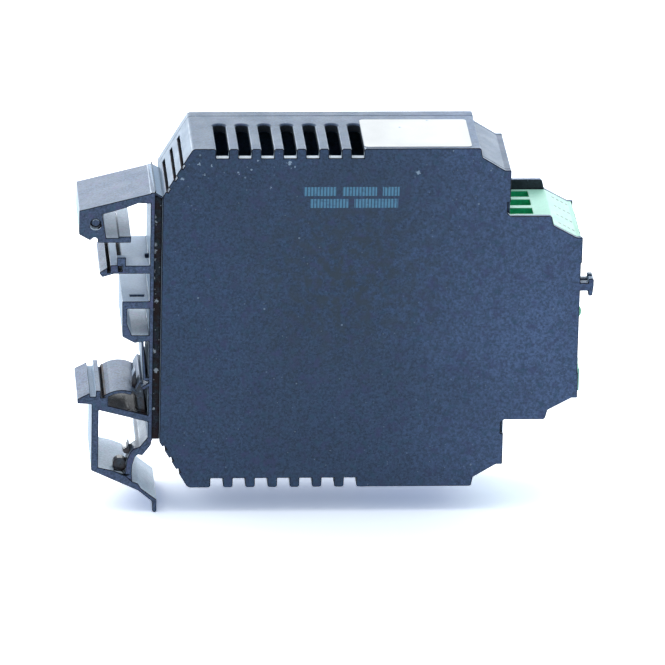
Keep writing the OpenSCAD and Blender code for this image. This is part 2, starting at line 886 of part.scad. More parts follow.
module circuit_board() {
    edge_z = top_z - rim_wall - board_edge;
    color(board_green) in_case() difference() {
        slab(board_y, board_top) polygon(rounded(mirrored(concat(
            chamfer_in(rim_wall + board_edge),
            [[board_front, edge_z, 0], [board_front, tongue_half, 0], [tongue_end, tongue_half, 0]]
        ))));
        for (p = post_places) board_hole(p[0], p[1], stake_r + stake_gap);
        for (s = [1, -1], i = [0:poles - 1]) board_hole(tail_x - i * tail_step, s * pin_z, pin_hole_r);
    }
}

pin_hole_r = 0.75;

module board_hole(x, z, r) {
    translate([x, board_y - 1, z]) rotate([-90, 0, 0]) cylinder(r = r, h = board_t + 2);
}

// Isolating transformer, standing on the board
core_x = case_back + 31;
core_z = -2;
core_w = 16;
core_h = 12.4;
core_t = 5;
leg_w = 4.4;
window_w = 3.6;
window_h = 8;
base_t = 1;
sleeve = 0.7;
flange = 0.8;
fit = 0.05;

module at_transformer() {
    in_case() translate([core_x, board_top, core_z]) children();
}

module transformer_core() {
    low = base_t + (core_h - window_h) / 2;
    color([0.2, 0.2, 0.22]) at_transformer() difference() {
        block([-core_w / 2, core_w / 2], [base_t, base_t + core_h], [-core_t / 2, core_t / 2]);
        for (s = [-1, 1])
            translate([s * (leg_w + window_w) / 2, low + window_h / 2, 0])
                cube([window_w, window_h, core_t + 2], center = true);
    }
}

module transformer_bobbin() {
    low = base_t + (core_h - window_h) / 2;
    wide = leg_w + 2 * window_w - 2 * fit;
    deep = core_t + 7;
    color([0.86, 0.84, 0.78]) at_transformer() {
        difference() {
            union() {
                block([-leg_w / 2 - sleeve, leg_w / 2 + sleeve], [low + fit, low + window_h - fit],
                    [-core_t / 2 - sleeve, core_t / 2 + sleeve]);
                for (y = [low + fit, low + window_h - fit - flange])
                    block([-wide / 2, wide / 2], [y, y + flange], [-deep / 2, deep / 2]);
            }
            block(
                [-leg_w / 2 - fit, leg_w / 2 + fit], [low - 1, low + window_h + 1],
                [-core_t / 2 - fit, core_t / 2 + fit]
            );
        }
        block([-core_w / 2, core_w / 2], [0, base_t], [-deep / 2, deep / 2]);
        // Feet that join the base to the lower flange beside the core
        both_ends()
            block([-wide / 2, wide / 2], [base_t - bite, low + fit + bite], [core_t / 2 + 0.2, deep / 2]);
    }
}

module transformer_winding() {
    low = base_t + (core_h - window_h) / 2 + flange + fit;
    x = (leg_w + 2 * window_w) / 2 - 0.3;
    z = core_t / 2 + 3;
    bend = 2.4;
    color([0.72, 0.42, 0.2]) at_transformer() difference() {
        translate([0, low, 0]) rotate([-90, 0, 0]) linear_extrude(window_h - 2 * (flange + fit))
            polygon(rounded([[-x, -z, bend], [x, -z, bend], [x, z, bend], [-x, z, bend]]));
        block(
            [-leg_w / 2 - sleeve, leg_w / 2 + sleeve], [0, core_h],
            [-core_t / 2 - sleeve, core_t / 2 + sleeve]
        );
    }
}

cap_places = [[case_back + 13, 22], [case_back + 13, -22]];

// Cans with a rolled groove near the foot
module electrolytic_capacitors() {
    r = cap_d / 2;
    color([0.15, 0.2, 0.35]) in_case() for (p = cap_places)
        translate([p[0], board_top, p[1]]) rotate([-90, 0, 0]) rotate_extrude() polygon([
            [0, 0], [r - 0.4, 0], [r, 0.4], [r, 1.6], [r - 0.35, 2], [r, 2.4],
            [r, cap_h - 0.5], [r - 0.5, cap_h], [0, cap_h],
        ]);
}

module film_capacitor() {
    color([0.75, 0.2, 0.15]) in_case()
        block([case_back + 30, case_back + 43], [board_top, board_top + 11], [-25, -20]);
}

// A small-outline chip lying on the board, with its rows of leads
module chip(pins) {
    step = 1.27;
    long = pins * step + 0.6;
    wide = 3.9;
    lead_w = 0.4;
    block([-long / 2, long / 2], [0.15, 1.6], [-wide / 2, wide / 2]);
    both_ends()
        for (i = [0:pins - 1])
            translate([(i - (pins - 1) / 2) * step - lead_w / 2, 0, wide / 2 - 0.1]) {
                cube([lead_w, 0.9, 0.9]);
                cube([lead_w, 0.2, 1.35]);
            }
}

module signal_chips() {
    color([0.1, 0.1, 0.11]) in_case() {
        translate([case_back + 49, board_top, 24]) chip(8);
        translate([case_back + 34, board_top, 24]) chip(7);
        translate([case_back + 52, board_top, 2]) chip(4);
    }
}

// Two four-lead optocouplers across the isolation gap
module optocouplers() {
    color([0.88, 0.88, 0.84]) in_case() for (z = [14, -14])
        translate([case_back + 24, board_top, z]) {
            block([-2.3, 2.3], [0.4, 3.6], [-3.2, 3.2]);
            both_ends()
                for (x = [-lead_pitch / 2, lead_pitch / 2]) block([x - 0.25, x + 0.25], [0, 2], [3.1, 3.9]);
        }
}

// A domed lamp with a collar, on two leads that bend down to the board's tongue
module status_lamp() {
    r = lamp_d / 2;
    collar = lamp_x - lamp_long;
    bend = collar - 1.9;
    half = 0.25;
    color([0.6, 0.9, 0.7]) in_case() {
        translate([collar, lamp_y, lamp_z]) rotate([0, 90, 0]) rotate_extrude() polygon(concat(
            [[0, 0], [r + 0.4, 0], [r + 0.4, 0.9], [r, 0.9], [r, lamp_long - r]],
            [for (i = [1:8]) let (a = i * 90 / 8) [r * cos(a), lamp_long - r + r * sin(a)]]
        ));
        for (z = [lamp_z - lead_pitch / 2, lamp_z + lead_pitch / 2]) {
            block([bend, collar + bite], [lamp_y - half, lamp_y + half], [z - half, z + half]);
            block([bend - 2 * half, bend + bite], [board_top, lamp_y + half], [z - half, z + half]);
        }
    }
}

housing_tray();
side_cover();
rail_foot();
front_panel();
upper_blank_cover();
lower_blank_cover();
type_label();
upper_plug_body();
upper_clamp_screws();
upper_clamp_cages();
upper_plug_contacts();
lower_plug_body();
lower_clamp_screws();
lower_clamp_cages();
lower_plug_contacts();
upper_header();
lower_header();
upper_header_pins();
lower_header_pins();
circuit_board();
transformer_core();
transformer_bobbin();
transformer_winding();
electrolytic_capacitors();
film_capacitor();
signal_chips();
optocouplers();
status_lamp();
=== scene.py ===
"""Looks of a slim rail-mounted signal converter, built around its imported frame."""
import json
import math

import bmesh
import bpy
from mathutils import Matrix, Vector


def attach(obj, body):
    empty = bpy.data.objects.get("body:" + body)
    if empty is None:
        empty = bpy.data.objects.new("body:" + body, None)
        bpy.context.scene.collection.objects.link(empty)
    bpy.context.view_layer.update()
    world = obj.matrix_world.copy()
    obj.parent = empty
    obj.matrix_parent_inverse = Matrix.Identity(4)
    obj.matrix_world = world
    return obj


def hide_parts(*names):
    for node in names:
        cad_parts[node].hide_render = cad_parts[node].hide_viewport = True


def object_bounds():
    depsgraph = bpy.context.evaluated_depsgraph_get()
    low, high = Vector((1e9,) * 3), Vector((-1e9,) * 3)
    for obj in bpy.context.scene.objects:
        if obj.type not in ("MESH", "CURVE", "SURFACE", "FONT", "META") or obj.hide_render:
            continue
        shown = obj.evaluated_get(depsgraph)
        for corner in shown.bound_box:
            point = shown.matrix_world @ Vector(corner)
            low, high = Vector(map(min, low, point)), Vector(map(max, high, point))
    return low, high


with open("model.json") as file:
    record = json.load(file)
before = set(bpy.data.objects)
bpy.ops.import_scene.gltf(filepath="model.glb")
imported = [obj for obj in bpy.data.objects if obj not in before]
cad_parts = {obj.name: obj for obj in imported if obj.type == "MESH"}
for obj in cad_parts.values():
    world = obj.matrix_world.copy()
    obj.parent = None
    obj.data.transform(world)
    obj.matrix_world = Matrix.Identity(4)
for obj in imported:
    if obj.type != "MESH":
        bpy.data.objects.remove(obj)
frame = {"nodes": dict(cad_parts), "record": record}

MM = 0.001
cad_low, cad_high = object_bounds()


# Camera, found from the photograph by a fit of outline points

PHOTO_PX = 665
FOCAL_PX = 7547.5
SENSOR_MM = 36.0
CAMERA_AZIMUTH = -4.4856
CAMERA_ELEVATION = 21.6494
CAMERA_ROLL = 1.3752
CAMERA_PLACE = Vector((-64.507, -1454.752, 571.223)) * MM
CLIP_START = 0.05
CLIP_END = 50.0


def make_camera():
    azimuth, elevation, roll = (math.radians(a) for a in (CAMERA_AZIMUTH, CAMERA_ELEVATION, CAMERA_ROLL))
    back = Vector((
        math.sin(azimuth) * math.cos(elevation),
        -math.cos(azimuth) * math.cos(elevation),
        math.sin(elevation),
    ))
    right = Vector((math.cos(azimuth), math.sin(azimuth), 0))
    up = back.cross(right)
    axes = Matrix((
        right * math.cos(roll) + up * math.sin(roll),
        up * math.cos(roll) - right * math.sin(roll),
        back,
    )).transposed()
    data = bpy.data.cameras.new("photo_camera")
    data.sensor_fit = "HORIZONTAL"
    data.sensor_width = SENSOR_MM
    data.lens = FOCAL_PX / PHOTO_PX * SENSOR_MM
    data.clip_start = CLIP_START
    data.clip_end = CLIP_END
    camera = bpy.data.objects.new("photo_camera", data)
    camera.matrix_world = Matrix.Translation(CAMERA_PLACE) @ axes.to_4x4()
    bpy.context.scene.collection.objects.link(camera)
    bpy.context.scene.camera = camera


make_camera()


# Colours

def linear(channel):
    """Linear share of an 8-bit screen channel."""
    share = channel / 255
    return share / 12.92 if share <= 0.04045 else ((share + 0.055) / 1.055) ** 2.4


def srgb(red, green, blue):
    """Linear colour of an 8-bit screen colour."""
    return tuple(linear(channel) for channel in (red, green, blue))


def tinted(colour, factors):
    return tuple(c * factor for c, factor in zip(colour, factors))


SLATE = srgb(46, 63, 91)
# Painted light: the near wall and cover turn to this paler slate towards +X
LIT_SLATE = srgb(74, 92, 126)
# Painted shade: this darker slate lies in patches around the middle of the near wall
PAINTED_SHADE_SLATE = srgb(44, 53, 64)
FOOT_SLATE = srgb(69, 81, 108)
DUST = srgb(158, 176, 194)
PALE_DUST = srgb(226, 232, 238)
# Painted shade: near-black laid into grooves, corners and along edges
SHADE_BLACK = srgb(10, 11, 14)
RUST = srgb(58, 36, 30)
# Painted shade: deep green laid into the plugs' grooves and corners
PLUG_SHADE_GREEN = srgb(4, 60, 30)
PRINT = srgb(104, 160, 190)
FAINT_PRINT = srgb(92, 126, 114)
WHITE = (1.0, 1.0, 1.0)
COOL_WHITE = (0.88, 0.94, 1.0)
TOP_WHITE = (0.92, 0.96, 1.0)
SHEEN_TINT = (0.74, 0.88, 1.0)
GLOSS_TINT = (0.72, 0.87, 1.0)
VIOLET_TINGE = (1.5, 0.85, 1.15)
TEAL_TINGE = (0.75, 1.25, 1.05)
TARNISH = (0.72, 0.72, 0.72)


# Shader helpers

NOISE_SPAN = (0.3, 0.7)
CREVICE_SPAN = (0.3, 0.8)
EDGE_SPAN = (0.03, 0.25)
SPECK_CORE = 0.5
SHADER_SAMPLES = 4


def node(tree, kind, inputs=None, **settings):
    """A shader node with its settings, and its inputs given as sockets or as plain values."""
    made = tree.nodes.new("ShaderNode" + kind)
    for key, value in settings.items():
        setattr(made, key, value)
    for key, value in (inputs or {}).items():
        if isinstance(value, bpy.types.NodeSocket):
            tree.links.new(value, made.inputs[key])
        else:
            made.inputs[key].default_value = value
    return made


def calc(tree, operation, a, b=0.0, c=0.0):
    return node(tree, "Math", {0: a, 1: b, 2: c}, operation=operation).outputs[0]


def vector_calc(tree, operation, a, b, output=0):
    return node(tree, "VectorMath", {0: a, 1: b}, operation=operation).outputs[output]


def scaled(tree, vector, factor):
    return node(tree, "VectorMath", {0: vector, "Scale": factor}, operation="SCALE").outputs[0]


def ramp(tree, value, low, high, to_low=0.0, to_high=1.0):
    """Value mapped smoothly from low..high to to_low..to_high, clamped."""
    inputs = {"Value": value, "From Min": low, "From Max": high, "To Min": to_low, "To Max": to_high}
    return node(tree, "MapRange", inputs, interpolation_type="SMOOTHSTEP").outputs["Result"]


def blend_colour(tree, share, a, b):
    """The colour a where the share is zero, and b where it is one."""
    first, second = ((*colour, 1.0) if isinstance(colour, tuple) else colour for colour in (a, b))
    return node(tree, "Mix", {0: share, 6: first, 7: second}, data_type="RGBA").outputs[2]


def product(tree, values):
    total = values[0]
    for value in values[1:]:
        total = calc(tree, "MULTIPLY", total, value)
    return total


def largest(tree, values):
    total = values[0]
    for value in values[1:]:
        total = calc(tree, "MAXIMUM", total, value)
    return total


def noise(tree, place, size, detail=2.0, roughness=0.5, output="Fac"):
    """Noise whose grain is about the size, in the unit of the place."""
    inputs = {"Vector": place, "Scale": 1.0 / size, "Detail": detail, "Roughness": roughness}
    return node(tree, "TexNoise", inputs).outputs[output]


def axes_of(tree, place):
    """The place along X, Y and Z in millimetres."""
    parts = node(tree, "SeparateXYZ", {0: place}).outputs
    return [calc(tree, "DIVIDE", parts[k], MM) for k in range(3)]


def phase(tree, value, period):
    """How far the value is into its period, from zero to one."""
    return calc(tree, "FRACT", calc(tree, "DIVIDE", value, period))


def away_from(tree, value, middle):
    return calc(tree, "ABSOLUTE", calc(tree, "SUBTRACT", value, middle))


def off_beat(tree, value, period):
    """How far the value is from the middle of its period, as a share of the period."""
    return away_from(tree, phase(tree, value, period), 0.5)


def between(tree, value, low, high):
    """One from low to high, zero outside."""
    return calc(tree, "COMPARE", value, (low + high) / 2, (high - low) / 2)


def inside(tree, axes, low, high):
    """One inside a box given in millimetres."""
    return product(tree, [between(tree, axes[k], low[k], high[k]) for k in range(3)])


def spot(tree, place, centre, reach):
    """One at a place given in millimetres, fading to zero over the reach."""
    away = vector_calc(tree, "DISTANCE", place, [c * MM for c in centre], "Value")
    return ramp(tree, away, 0.0, reach * MM, 1.0, 0.0)


def specks(tree, place, size, share, reach):
    """Small round specks: one in each chosen cell of about size metres."""
    cells = node(tree, "TexVoronoi", {"Vector": place, "Scale": 1.0 / size, "Randomness": 1.0})
    draw = node(tree, "SeparateColor", {"Color": cells.outputs["Color"]}).outputs[0]
    chosen = calc(tree, "LESS_THAN", draw, share)
    round_shape = ramp(tree, cells.outputs["Distance"], reach, reach * SPECK_CORE)
    return calc(tree, "MULTIPLY", chosen, round_shape)


def crevice(tree, reach):
    """One in grooves and corners, zero in the open: where shade is painted and the gloss is duller."""
    share = node(tree, "AmbientOcclusion", {"Distance": reach}, samples=SHADER_SAMPLES).outputs["AO"]
    return ramp(tree, share, *CREVICE_SPAN, 1.0, 0.0)


def edge_mask(tree, radius):
    """One along the edges of the piece, fading over the radius."""
    rounded = node(tree, "Bevel", {"Radius": radius}, samples=SHADER_SAMPLES).outputs["Normal"]
    flat = node(tree, "NewGeometry").outputs["Normal"]
    likeness = vector_calc(tree, "DOT_PRODUCT", rounded, flat, "Value")
    return ramp(tree, calc(tree, "SUBTRACT", 1.0, likeness), *EDGE_SPAN)


def new_material(name):
    material = bpy.data.materials.new(name)
    material.use_nodes = True
    tree = material.node_tree
    shader = tree.nodes["Principled BSDF"]
    place = node(tree, "TexCoord").outputs["Object"]
    return material, tree, shader, place


def add_bump(tree, shader, height, strength, depth):
    bump = node(tree, "Bump", {"Height": height, "Strength": strength, "Distance": depth})
    tree.links.new(bump.outputs["Normal"], shader.inputs["Normal"])


# Prints, with places and sizes in millimetres

WALL_PRINT_Y = (-11.5, -11.0)
BARS = [(42.2, 48.9, 26.6), (50.1, 57.2, 26.6), (58.4, 61.8, 26.6), (43.5, 51.4, 24.0), (52.6, 61.6, 24.0)]
BAR_HEIGHT = 1.95
HATCH = 0.66
HATCH_SPAN = (0.2, 0.36)
HATCH_GAP = 0.25
WEAR_SIZE = 0.9
WEAR_SPAN = (0.3, 0.5)
WORN_SHARE = 0.55

POLE_PITCH = 5.0
CASE_MIDDLE = -0.6
LINE_SPAN = (0.1, 0.05)
DASH_PITCH = 0.95
DASH_FROM_TO = (0.2, 0.8)
DASHES_X = (94.9, 98.6)
DASHES_FROM_MIDDLE = (17.2, 19.8)


def bar_print(tree, axes):
    """Plain hatched bars printed on the near wall."""
    bars = largest(tree, [
        inside(tree, axes, (low_x, WALL_PRINT_Y[0], low_z), (high_x, WALL_PRINT_Y[1], low_z + BAR_HEIGHT))
        for low_x, high_x, low_z in BARS
    ])
    hatch = ramp(tree, off_beat(tree, axes[0], HATCH), *HATCH_SPAN, 1.0, HATCH_GAP)
    wall = node(tree, "CombineXYZ", {0: axes[0], 2: axes[2]}).outputs[0]
    worn = ramp(tree, noise(tree, wall, WEAR_SIZE), *WEAR_SPAN, WORN_SHARE, 1.0)
    return product(tree, [bars, hatch, worn])


def plug_print(tree, axes):
    """A faint row of dashes beside each pole on the plug's slanted face."""
    line = ramp(tree, off_beat(tree, axes[1], POLE_PITCH), *LINE_SPAN)
    dash = between(tree, phase(tree, axes[0], DASH_PITCH), *DASH_FROM_TO)
    high = between(tree, away_from(tree, axes[2], CASE_MIDDLE), *DASHES_FROM_MIDDLE)
    return product(tree, [line, dash, high, between(tree, axes[0], *DASHES_X)])


# Layers of a moulded plastic

# Painted light: between these places along X, in millimetres, a second, lighter tone takes over from the
# first
PAINTED_LIGHT_X = (50.0, 96.0)
CLOUD_SIZE = 22 * MM
CLOUD_LEVELS = (0.88, 1.12)
MOTTLE_SIZE = 0.5 * MM
TINGES = ((2.6 * MM, VIOLET_TINGE), (1.9 * MM, TEAL_TINGE))
TINGE_SPAN = (0.51, 0.73)
STAIN_AND_SHADE_SIZE = 2.2 * MM
STAIN_AND_SHADE_SPAN = (0.38, 0.62)
COARSE_SPECKS = 2.3 * MM
COARSE_REACH = 0.12
FINE_SPECKS = 0.8 * MM
FINE_REACH = 0.22
FINE_SHARE = 0.6
DUST_EVERYWHERE = 0.06
DUST_IN_PLACES = 0.3
FLECK_SPAN = (0.1, 0.5)
NOISE_MIDDLE = (0.5, 0.5, 0.5)
RAGGED_SIZE = 0.5 * MM
RAGGED_REACH = 1.2 * MM
EDGE_RADIUS = 0.28 * MM
GLOSS_SIZE = 3 * MM
GLOSS_SWING = 0.05
DULL_SPAN = (0.1, 0.9)
GRAIN_SIZE = 0.22 * MM
GRAIN_DEPTH = 0.05 * MM


def cloudy(tree, place, tone, base, mottle, tinge):
    """The tone with broad clouds, fine mottling and faint violet and teal tinges."""
    clouds = noise(tree, place, CLOUD_SIZE, detail=3.0)
    mottles = noise(tree, place, MOTTLE_SIZE, detail=3.0, roughness=0.8)
    broad = ramp(tree, clouds, *NOISE_SPAN, *CLOUD_LEVELS)
    fine = ramp(tree, mottles, *NOISE_SPAN, 1.0 - mottle, 1.0 + mottle)
    tone = scaled(tree, tone, calc(tree, "MULTIPLY", broad, fine))
    for size, tint in TINGES if tinge else ():
        uneven = noise(tree, place, size, detail=3.0, roughness=0.65)
        share = ramp(tree, uneven, *TINGE_SPAN, 0.0, tinge)
        tone = blend_colour(tree, share, tone, tinted(base, tint))
    return tone


def stain_and_shade_blotches(tree, place, tone, colour, strength, places):
    """The tone with ragged blotches of a second colour, around the given places or everywhere: real rust
    stains, and painted shade on the near wall.
    """
    uneven = noise(tree, place, STAIN_AND_SHADE_SIZE, detail=3.0, roughness=0.65)
    share = ramp(tree, uneven, *STAIN_AND_SHADE_SPAN, 0.0, strength)
    if places:
        near = [spot(tree, place, centre, reach) for centre, reach in places]
        share = calc(tree, "MULTIPLY", share, largest(tree, near))
    return blend_colour(tree, share, tone, colour)


def ragged(tree, place):
    """The place with a small shift in all directions, which gives round spots a ragged outline."""
    shift = noise(tree, place, RAGGED_SIZE, output="Color")
    centred = vector_calc(tree, "SUBTRACT", shift, NOISE_MIDDLE)
    return vector_calc(tree, "ADD", place, scaled(tree, centred, RAGGED_REACH))


def dust_share(tree, place, dust, dusty_places, flecks):
    """Loose specks everywhere, more of them at the dusty places, and single flecks."""
    near = [spot(tree, place, centre, reach) for centre, reach in dusty_places]
    share = DUST_EVERYWHERE
    if near:
        share = calc(tree, "MULTIPLY_ADD", largest(tree, near), DUST_IN_PLACES, DUST_EVERYWHERE)
    coarse = specks(tree, place, COARSE_SPECKS, share, COARSE_REACH)
    fine = specks(tree, place, FINE_SPECKS, share, FINE_REACH)
    dusty = [calc(tree, "MULTIPLY", coarse, dust), calc(tree, "MULTIPLY", fine, dust * FINE_SHARE)]
    if flecks:
        shifted = ragged(tree, place)
        dusty += [ramp(tree, spot(tree, shifted, centre, reach), *FLECK_SPAN) for centre, reach in flecks]
    return largest(tree, dusty)


def set_gloss(shader, sheen, sheen_roughness, specular, gloss_tint):
    shader.inputs["Sheen Weight"].default_value = sheen
    shader.inputs["Sheen Roughness"].default_value = sheen_roughness
    shader.inputs["Sheen Tint"].default_value = (*SHEEN_TINT, 1.0)
    shader.inputs["Specular IOR Level"].default_value = specular
    shader.inputs["Specular Tint"].default_value = (*gloss_tint, 1.0)


def moulded_plastic(
    name, base, lit_base=None, mottle=0.3, tinge=0.0, stain_and_shade=None, stain_and_shade_strength=0.7, stain_and_shade_places=(),
    dust=0.5, dust_colour=DUST, dusty_places=(), flecks=(), prints=None, print_colour=PRINT, print_share=0.0,
    shade=0.75, shade_colour=SHADE_BLACK, shade_reach=1.2, edge_shade=0.0, grain=0.12,
    roughness=0.5, sheen=0.0, sheen_roughness=0.35, specular=0.5, gloss_tint=WHITE,
):
    """Moulded plastic with spark-eroded grain, cloudy tone, dust, painted light towards +X when a lighter
    tone is given, and painted shade in its grooves and along its edges.
    """
    material, tree, shader, place = new_material(name)
    axes = axes_of(tree, place)
    # Painted light: a lighter tone takes over towards +X
    tone = blend_colour(tree, ramp(tree, axes[0], *PAINTED_LIGHT_X), base, lit_base) if lit_base else base
    tone = cloudy(tree, place, tone, base, mottle, tinge)
    # Ragged blotches: real rust stains, and painted shade on the near wall
    if stain_and_shade:
        tone = stain_and_shade_blotches(tree, place, tone, stain_and_shade, stain_and_shade_strength, stain_and_shade_places)
    tone = blend_colour(tree, dust_share(tree, place, dust, dusty_places, flecks), tone, dust_colour)
    if prints:
        tone = blend_colour(tree, calc(tree, "MULTIPLY", prints(tree, axes), print_share), tone, print_colour)
    # Painted shade in grooves and corners, from ambient occlusion
    groove = crevice(tree, shade_reach * MM)
    tone = blend_colour(tree, calc(tree, "MULTIPLY", groove, shade), tone, shade_colour)
    # Painted shade along the edges
    if edge_shade:
        edges = edge_mask(tree, EDGE_RADIUS)
        tone = blend_colour(tree, calc(tree, "MULTIPLY", edges, edge_shade), tone, SHADE_BLACK)
    patchy = noise(tree, place, GLOSS_SIZE)
    rough = ramp(tree, patchy, *NOISE_SPAN, roughness - GLOSS_SWING, roughness + GLOSS_SWING)
    tree.links.new(tone, shader.inputs["Base Color"])
    tree.links.new(ramp(tree, groove, *DULL_SPAN, rough, 1.0), shader.inputs["Roughness"])
    set_gloss(shader, sheen, sheen_roughness, specular, gloss_tint)
    add_bump(tree, shader, noise(tree, place, GRAIN_SIZE), grain, GRAIN_DEPTH)
    return material


# Plated metal

STREAK_STRETCH = (1.0, 8.0, 1.0)
STREAK_SIZE = 0.4 * MM
STREAK_DEPTH = 0.02 * MM
STREAK_STRENGTH = 0.2
TARNISH_SIZE = 1.5 * MM
TARNISH_SPAN = (0.35, 0.7)
METAL_SHADE = 0.6
METAL_SHADE_REACH = 0.6 * MM
SMOOTHER = 0.08
ROUGHER = 0.12


def metal(name, base, roughness=0.35):
    """Plated metal with fine streaks and a patchy tone."""
    material, tree, shader, place = new_material(name)
    stretched = node(tree, "Mapping", {"Vector": place, "Scale": STREAK_STRETCH}).outputs["Vector"]
    streaks = noise(tree, stretched, STREAK_SIZE, detail=3.0)
    dull = ramp(tree, noise(tree, place, TARNISH_SIZE), *TARNISH_SPAN)
    tone = blend_colour(tree, dull, base, tinted(base, TARNISH))
    # Painted shade in the grooves
    groove = crevice(tree, METAL_SHADE_REACH)
    tone = blend_colour(tree, calc(tree, "MULTIPLY", groove, METAL_SHADE), tone, SHADE_BLACK)
    rough = ramp(tree, streaks, *NOISE_SPAN, roughness - SMOOTHER, roughness + ROUGHER)
    tree.links.new(tone, shader.inputs["Base Color"])
    tree.links.new(rough, shader.inputs["Roughness"])
    shader.inputs["Metallic"].default_value = 1.0
    add_bump(tree, shader, streaks, STREAK_STRENGTH, STREAK_DEPTH)
    return material


# Marks on the surfaces: a place and a reach each, in millimetres

NEAR_WALL_Y = -11.25
STRIP_Y = -9.55
LABEL_Z = 37.0


def marks_at(y, marks):
    """Round marks on a face across Y, each given by its X, Z and reach."""
    return [((x, y, z), reach) for x, z, reach in marks]


DUSTY_PLACES = marks_at(NEAR_WALL_Y, [(18, 34.8, 5.5), (25, 33.5, 7.0), (37, 34.8, 6.0), (66, 33, 6.0)])
# Painted shade: the near wall is darker in patches around this place
PAINTED_SHADE_PLACES = marks_at(NEAR_WALL_Y, [(52, 10, 34)])
WALL_FLECKS = marks_at(NEAR_WALL_Y, [
    (39.2, 33.8, 0.7), (40.3, 33.0, 0.4), (32.6, 34.4, 0.4), (28.7, 31.7, 0.35),
    (31.4, 32.4, 0.35), (35.5, 28.5, 0.35), (20.5, 33.6, 0.4), (23.1, 33.3, 0.35),
    (21.6, 31.3, 0.35), (17.2, 30.4, 0.5), (72.6, 36.3, 0.4), (65.6, 31.7, 0.5),
])
STRIP_FLECKS = marks_at(STRIP_Y, [
    (11.7, 21.6, 0.6), (12.0, 20.6, 0.45), (11.6, 15.4, 0.95), (11.9, 13.9, 0.65),
    (11.8, 12.2, 0.45), (11.6, 9.6, 0.65), (11.5, 8.0, 0.8), (12.3, 3.0, 0.55),
    (11.6, 1.2, 0.5), (12.0, -8.1, 0.7), (12.5, -12.4, 0.75), (12.0, -21.0, 0.5),
])
STRIP_DUST = [((12.7, -9.6, -5), 60)]
LABEL_SMUDGES = [((62.6, 1.2, LABEL_Z), 0.5), ((68.6, 5.3, LABEL_Z), 0.5)]


# Materials of the case and its covers

look = dict(roughness=0.45, sheen=0.75, gloss_tint=GLOSS_TINT, tinge=0.7, mottle=0.6, edge_shade=0.9)
far_look = dict(look, sheen=0.3, specular=0.35)

# Painted light and shade: the case and cover turn lighter towards +X, and the near wall is darker in patches
# around its middle
case_plastic = moulded_plastic(
    "case_plastic", SLATE, LIT_SLATE, dusty_places=DUSTY_PLACES, flecks=WALL_FLECKS,
    prints=bar_print, print_share=0.9,
    stain_and_shade=PAINTED_SHADE_SLATE, stain_and_shade_strength=0.95, stain_and_shade_places=PAINTED_SHADE_PLACES, **look,
)
cover_plastic = moulded_plastic("cover_plastic", SLATE, LIT_SLATE, **look)
# Painted shade: a darker copy of the cover plastic for its back face, against the lamp behind it; it too
# turns lighter towards +X
shaded_far_wall = moulded_plastic("shaded_far_wall", srgb(37, 49, 70), srgb(46, 59, 82), **far_look)
panel_plastic = moulded_plastic("panel_plastic", srgb(50, 66, 94), grain=0.08, **look)
# Painted shade: a darker, duller copy for the walls inside the vents and the cover's wall beside the plugs
shaded_inner_plastic = moulded_plastic("shaded_inner_plastic", srgb(50, 56, 64), grain=0.05, specular=0.2)
shaded_edge = moulded_plastic("shaded_edge", srgb(16, 18, 28), grain=0.0, dust=0.2, specular=0.1)
# Painted highlight: near-white ledges at the bottom of the notches in the near wall
lit_notch_ledge = moulded_plastic(
    "lit_notch_ledge", srgb(222, 230, 238), grain=0.1, roughness=0.6, dust=0.0, mottle=0.1, shade=0.0,
)
label_film = moulded_plastic(
    "label_film", srgb(222, 220, 216), grain=0.02, roughness=0.45, dust=0.1, mottle=0.02, shade=0.2,
    flecks=LABEL_SMUDGES,
)


# Materials of the rail foot

foot_look = dict(look, roughness=0.4, sheen=0.6, dust=0.3, grain=0.05)
side_look = dict(foot_look, roughness=0.16, sheen=1.0, specular=0.8, grain=0.02)
slant_look = dict(foot_look, roughness=0.5, sheen=0.25, specular=0.4)
lit_shelf_look = dict(foot_look, sheen=0.9, sheen_roughness=0.55, tinge=0.2, mottle=0.2, edge_shade=0.5)

foot_plastic = moulded_plastic("foot_plastic", FOOT_SLATE, **foot_look)
foot_side = moulded_plastic("foot_side", FOOT_SLATE, **side_look)
foot_slant = moulded_plastic("foot_slant", FOOT_SLATE, **slant_look)
# Painted light: paler copies of the foot plastic for its upward faces, paler still deep in the windows and on
# the tail
lit_foot_shelf = moulded_plastic("lit_foot_shelf", srgb(140, 158, 182), **lit_shelf_look)
lit_deep_shelf = moulded_plastic("lit_deep_shelf", srgb(224, 234, 245), shade_reach=0.5, **lit_shelf_look)
# Painted shade: a near-black copy for the strip beside the case, grooves, slits and the lower pin hole, with
# real rust and dust flecks
dusty_shade = moulded_plastic(
    "dusty_shade", srgb(60, 68, 76), grain=0.2, roughness=0.35, mottle=0.7, tinge=0.8, specular=0.1,
    stain_and_shade=RUST, stain_and_shade_strength=0.8,
    dust=0.9, dust_colour=PALE_DUST, dusty_places=STRIP_DUST, flecks=STRIP_FLECKS,
)
# Painted shade: a dark glossy copy for the hollow under the arch and the boss and barb, with rust blotches
glossy_shade = moulded_plastic(
    "glossy_shade", srgb(48, 57, 68), grain=0.0, roughness=0.2, dust=0.3, mottle=0.6, specular=0.35, stain_and_shade=RUST,
)


# Materials of the plugs and their headers

# The plugs' grooves and corners get painted shade in deep green
plug_plastic = moulded_plastic(
    "plug_plastic", srgb(184, 238, 213), grain=0.05, roughness=0.45, dust=0.15, mottle=0.05,
    shade=0.5, shade_colour=PLUG_SHADE_GREEN, shade_reach=0.6,
    prints=plug_print, print_colour=FAINT_PRINT, print_share=0.85,
)
